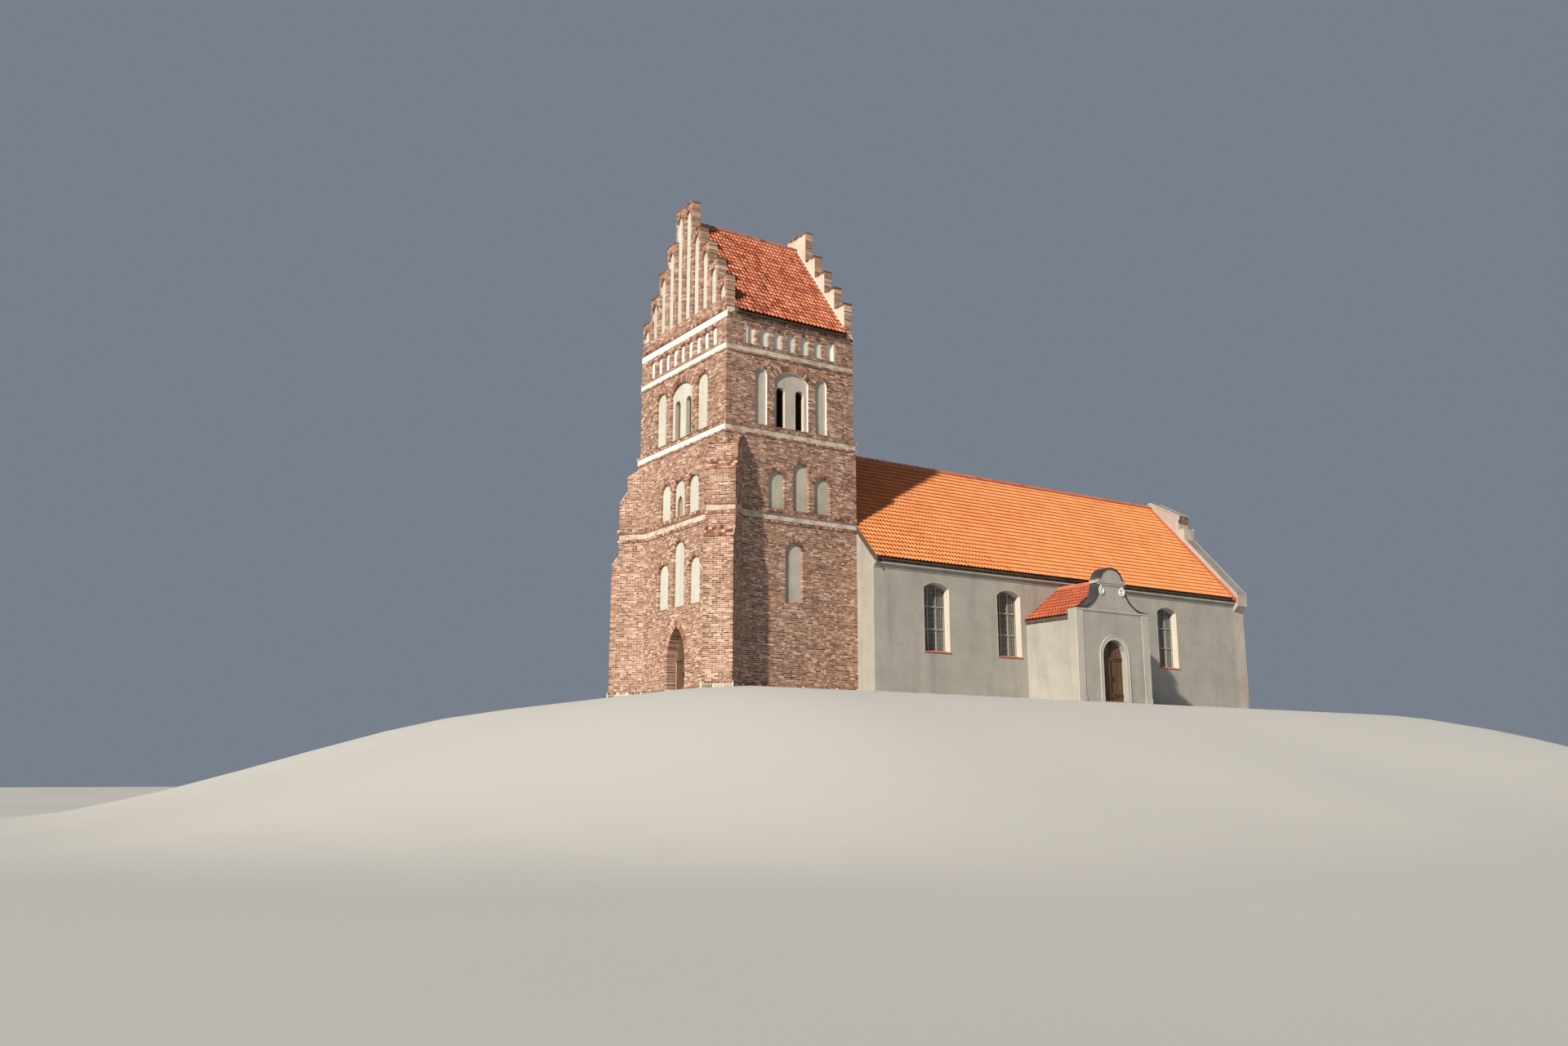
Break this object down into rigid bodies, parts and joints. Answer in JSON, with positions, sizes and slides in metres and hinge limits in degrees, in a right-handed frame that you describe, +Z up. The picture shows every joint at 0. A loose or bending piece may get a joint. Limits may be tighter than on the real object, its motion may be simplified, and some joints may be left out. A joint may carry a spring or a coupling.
{
  "type": "village church building",
  "caption": "Brick church with a saddle-roofed west tower, diagonal buttresses, plastered nave under a steep tiled roof, shaped east gable and a gabled south porch.",
  "frame": {"origin": "on the ground, under the middle of the whole building's plan", "axes": "+X runs east along the nave, +Y runs north, +Z points up"},
  "size_m": [33.375, 14.08, 22.95],
  "materials": {
    "brick": "weathered red-orange brick with pale mortar, plaster in the niches",
    "plaster": "grey lime plaster, matt",
    "cream_plaster": "cream lime plaster, matt",
    "nave_tile": "new orange pantiles, matt",
    "tower_tile": "orange-red pantiles, matt",
    "floor_stone": "grey stone slabs, worn",
    "floor_boards": "rough boards",
    "door_oak": "dark stained oak planks",
    "window_glass": "small leaded panes"
  },
  "bodies": {
    "root": {"tower_west_wall": "brick", "tower_east_wall": "brick", "tower_south_wall": "brick", "tower_north_wall": "brick", "tower_buttress_southwest": "brick", "tower_buttress_northwest": "brick", "belfry_west_wall": "brick", "belfry_east_wall": "brick", "belfry_south_wall": "brick", "belfry_north_wall": "brick", "tower_west_gable": "brick", "tower_east_gable": "brick", "tower_roof_south": "tower_tile", "tower_roof_north": "tower_tile", "tower_roof_ridge": "tower_tile", "tower_floor": "floor_stone", "belfry_floor": "floor_boards", "tower_west_door": "door_oak", "nave_west_gable": "plaster", "nave_east_gable": "cream_plaster", "nave_south_wall": "plaster", "nave_north_wall": "plaster", "nave_south_cornice": "plaster", "nave_north_cornice": "plaster", "nave_roof_south": "nave_tile", "nave_roof_north": "nave_tile", "nave_roof_ridge": "nave_tile", "nave_floor": "floor_stone", "nave_window_south_1": "window_glass", "nave_window_south_2": "window_glass", "nave_window_south_3": "window_glass", "nave_window_south_4": "window_glass", "nave_window_north_1": "window_glass", "nave_window_north_2": "window_glass", "nave_window_north_3": "window_glass", "nave_window_north_4": "window_glass", "nave_window_east": "window_glass", "porch_west_wall": "plaster", "porch_east_wall": "plaster", "porch_gable": "plaster", "porch_roof_west": "nave_tile", "porch_roof_east": "nave_tile", "porch_floor": "floor_stone", "porch_door": "door_oak"}
  },
  "joints": []
}
